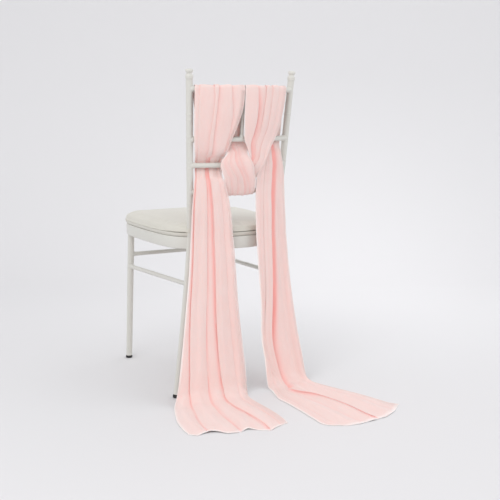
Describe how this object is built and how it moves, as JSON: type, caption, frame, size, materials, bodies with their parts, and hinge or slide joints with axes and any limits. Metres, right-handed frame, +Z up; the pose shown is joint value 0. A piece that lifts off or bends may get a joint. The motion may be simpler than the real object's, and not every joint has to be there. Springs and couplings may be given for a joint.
{
  "type": "chair sash on a banquet chair",
  "caption": "Long sheer sash woven in a V through the rails of a tubular banquet chair, its two tails trailing on the floor behind the seat.",
  "frame": {"origin": "middle of the bounding box on the floor", "axes": "+Z up, +Y the way the sitter faces, +X to the right as seen from behind the chair; the sash hangs on the -Y side"},
  "size_m": [0.611, 0.9, 0.9203],
  "materials": {
    "frame": "satin ivory paint on metal tube",
    "sash": "sheer blush chiffon",
    "seat_pad": "smooth ivory pad cover",
    "foot": "matt black"
  },
  "bodies": {
    "root": {"sash": "sash", "post_left": "frame", "post_right": "frame", "rail_top": "frame", "rail_two": "frame", "rail_three": "frame", "rail_four": "frame", "spindle_centre": "frame", "seat_frame": "frame", "seat_board": "seat_pad", "seat_pad": "seat_pad", "leg_front_left": "frame", "leg_front_right": "frame", "stretcher_left": "frame", "stretcher_right": "frame", "stretcher_front": "frame", "foot_back_left": "foot", "foot_back_right": "foot", "foot_front_left": "foot", "foot_front_right": "foot"}
  },
  "joints": []
}
